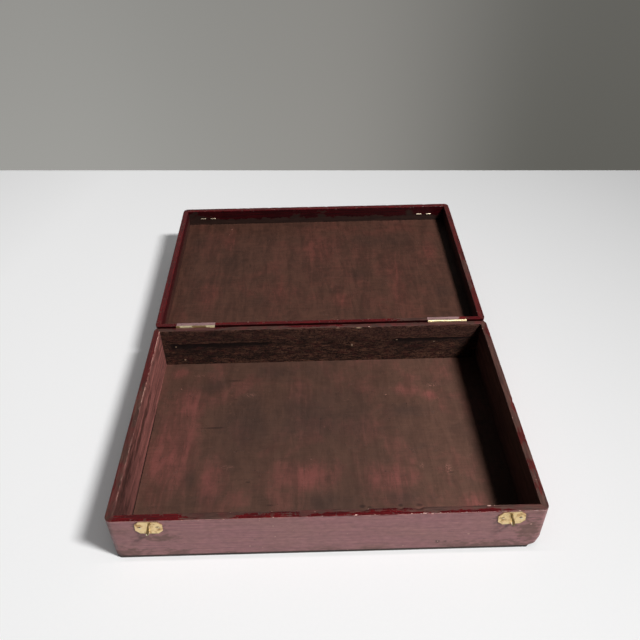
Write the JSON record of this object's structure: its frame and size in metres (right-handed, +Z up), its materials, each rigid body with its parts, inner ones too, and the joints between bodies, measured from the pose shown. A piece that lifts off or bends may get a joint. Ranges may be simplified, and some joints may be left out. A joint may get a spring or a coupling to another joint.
{
  "type": "silverware box",
  "caption": "Low wooden cutlery box, painted dark red, with a hinged lid laid open flat behind the base, brass butt hinges and hasp and staple catches.",
  "frame": {"origin": "centre of the base's flat underside, on the surface that the box stands on", "axes": "+Z up, +Y from the catches to the hinges and on to the opened lid, +X to the right seen from the catches"},
  "size_m": [0.43, 0.5954, 0.0711],
  "materials": {
    "painted_walls": "dark red paint, satin, worn through to brown along edges",
    "stained_panels": "thin brown and red stain, dull",
    "brass": "pale, lightly tarnished",
    "painted_hinge_brass": "painted over with the box's paint",
    "nail_steel": "dark"
  },
  "bodies": {
    "base": {"base_front_wall": "painted_walls", "base_back_wall": "painted_walls", "base_left_wall": "painted_walls", "base_right_wall": "painted_walls", "base_bottom_panel": "stained_panels", "bottom_panel_nails": "nail_steel", "left_hinge_base_leaf": "painted_hinge_brass", "left_hinge_pin": "brass", "left_hinge_base_screws": "painted_hinge_brass", "left_catch_plate": "brass", "left_catch_staple": "brass", "left_catch_nails": "brass", "right_hinge_base_leaf": "painted_hinge_brass", "right_hinge_pin": "brass", "right_hinge_base_screws": "painted_hinge_brass", "right_catch_plate": "brass", "right_catch_staple": "brass", "right_catch_nails": "brass"},
    "lid": {"lid_front_wall": "painted_walls", "lid_back_wall": "painted_walls", "lid_left_wall": "painted_walls", "lid_right_wall": "painted_walls", "lid_top_panel": "stained_panels", "lid_panel_nails": "nail_steel", "left_hinge_lid_leaf": "painted_hinge_brass", "left_hinge_lid_screws": "painted_hinge_brass", "left_hasp_plate": "brass", "left_hasp_pin": "brass", "left_hasp_nails": "brass", "right_hinge_lid_leaf": "painted_hinge_brass", "right_hinge_lid_screws": "painted_hinge_brass", "right_hasp_plate": "brass", "right_hasp_pin": "brass", "right_hasp_nails": "brass"},
    "left_hasp": {"left_hasp_leaf": "brass"},
    "right_hasp": {"right_hasp_leaf": "brass"}
  },
  "joints": [
    {"name": "lid_hinge", "type": "hinge", "parent": "base", "child": "lid", "pos_m": [0, 0.14605, 0.0621], "axis": [1, 0, 0], "range_deg": [0, 178.2]},
    {"name": "left_hasp_hinge", "type": "hinge", "parent": "lid", "child": "left_hasp", "pos_m": [-0.173, 0.43985, 0.06523], "axis": [1, 0, 0], "range_deg": [0, 181.8]},
    {"name": "right_hasp_hinge", "type": "hinge", "parent": "lid", "child": "right_hasp", "pos_m": [0.179, 0.43985, 0.06523], "axis": [1, 0, 0], "range_deg": [0, 181.8]}
  ]
}
